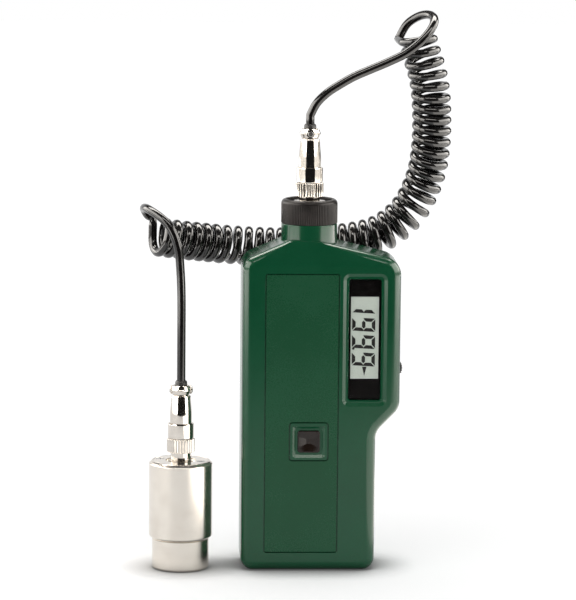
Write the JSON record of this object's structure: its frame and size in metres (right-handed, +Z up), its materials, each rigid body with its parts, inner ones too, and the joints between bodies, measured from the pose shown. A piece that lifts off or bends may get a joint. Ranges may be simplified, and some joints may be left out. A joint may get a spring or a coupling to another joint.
{
  "type": "handheld vibration meter",
  "caption": "Upright handheld vibration meter with a narrow display, a square key and a side selector, joined by a curly cord to a cylindrical magnetic sensor.",
  "frame": {"origin": "on the meter's base, below the axis of its socket", "axes": "+Z up along the meter, -Y towards the viewer of the display, +X to the display's side; the sensor stands at -X"},
  "size_m": [0.1515, 0.0586, 0.27],
  "materials": {
    "case_green": "fine-grained moulded ABS, dark green",
    "label_green": "matt printed film, lighter green, bare",
    "collar_black": "satin, brown black, fine vertical ribs",
    "key_black": "glossy, dished",
    "black_plastic": "satin black",
    "mask_black": "printed black",
    "clear_window": "clear, glossy",
    "lcd_grey": "grey reflective display with plain dark digits",
    "white_plastic": "white moulding",
    "silicone_pink": "soft, striped",
    "nickel": "nickel plate, polished",
    "nickel_satin": "nickel plate, satin, turned",
    "steel": "zinc plated",
    "brass": "turned",
    "crystal": "fired, matt",
    "magnet_dark": "sintered, matt",
    "board_green": "solder mask over glass fibre",
    "capacitor_blue": "sleeved",
    "trimmer_blue": "moulded",
    "battery_grey": "plain wrapped can",
    "wire_red": "insulation",
    "wire_grey": "insulation",
    "cord_black": "smooth, glossy polyurethane",
    "sleeve_black": "satin rubber"
  },
  "bodies": {
    "meter": {"front_shell": "case_green", "rear_shell": "case_green", "top_collar": "collar_black", "meter_socket": "nickel", "socket_nut": "nickel", "socket_insert": "black_plastic", "label_panel": "label_green", "push_switch": "black_plastic", "display_window": "clear_window", "display_mask": "mask_black", "lcd_glass": "lcd_grey", "lcd_frame": "white_plastic", "lcd_connectors": "silicone_pink", "selector_switch": "steel", "main_board": "board_green", "board_chips": "black_plastic", "capacitors": "capacitor_blue", "trimmers": "trimmer_blue", "battery": "battery_grey", "battery_snap": "black_plastic", "battery_leads": "wire_red", "socket_leads": "wire_grey", "case_screws": "steel", "board_screws": "steel", "meter_plug_barrel": "nickel", "meter_plug_tail": "nickel", "meter_plug_insert": "black_plastic", "meter_plug_clamp": "nickel", "meter_plug_screws": "steel", "meter_plug_sleeve": "sleeve_black", "sensor_plug_barrel": "nickel", "sensor_plug_tail": "nickel", "sensor_plug_insert": "black_plastic", "sensor_plug_clamp": "nickel", "sensor_plug_screws": "steel", "sensor_plug_sleeve": "sleeve_black", "meter_lead": "cord_black", "cord_coil": "cord_black", "sensor_lead": "cord_black", "sensor_housing": "nickel_satin", "sensor_cap": "nickel_satin", "cap_screws": "steel", "sensor_socket": "nickel", "sensor_insert": "black_plastic", "sensor_post": "steel", "crystal_rings": "crystal", "electrode_plate": "brass", "seismic_mass": "brass", "preload_nut": "steel", "mounting_stud": "steel"},
    "key": {"power_key": "key_black", "switch_plunger": "white_plastic"},
    "selector": {"selector_knob": "black_plastic"},
    "cover": {"battery_cover": "case_green"},
    "meter_nut": {"meter_plug_nut": "nickel"},
    "sensor_nut": {"sensor_plug_nut": "nickel"},
    "magnet_base": {"magnet_cup": "nickel_satin", "ring_magnet": "magnet_dark"}
  },
  "joints": [
    {"name": "key_press", "type": "slide", "parent": "meter", "child": "key", "axis": [0, 1, 0], "range_m": [0, 0.001], "stiffness_N_per_m": 900, "springref_m": -0.0005},
    {"name": "selector_slide", "type": "slide", "parent": "meter", "child": "selector", "axis": [0, 0, 1], "range_m": [-0.0022, 0.0022]},
    {"name": "cover_tilt", "type": "hinge", "parent": "meter", "child": "cover", "pos_m": [0, 0.016, 0.0085], "axis": [-1, 0, 0], "range_deg": [0, 50]},
    {"name": "meter_nut_turn", "type": "hinge", "parent": "meter", "child": "meter_nut", "pos_m": [0, 0, 0.18455], "axis": [0, 0, 1], "range_deg": [0, 900]},
    {"name": "sensor_nut_turn", "type": "hinge", "parent": "meter", "child": "sensor_nut", "pos_m": [-0.0615, -0.0065, 0.0605], "axis": [0, 0, 1], "range_deg": [0, 900]},
    {"name": "magnet_base_turn", "type": "hinge", "parent": "meter", "child": "magnet_base", "pos_m": [-0.0615, -0.0065, 0.0075], "axis": [0, 0, 1], "range_deg": [0, 900]}
  ]
}
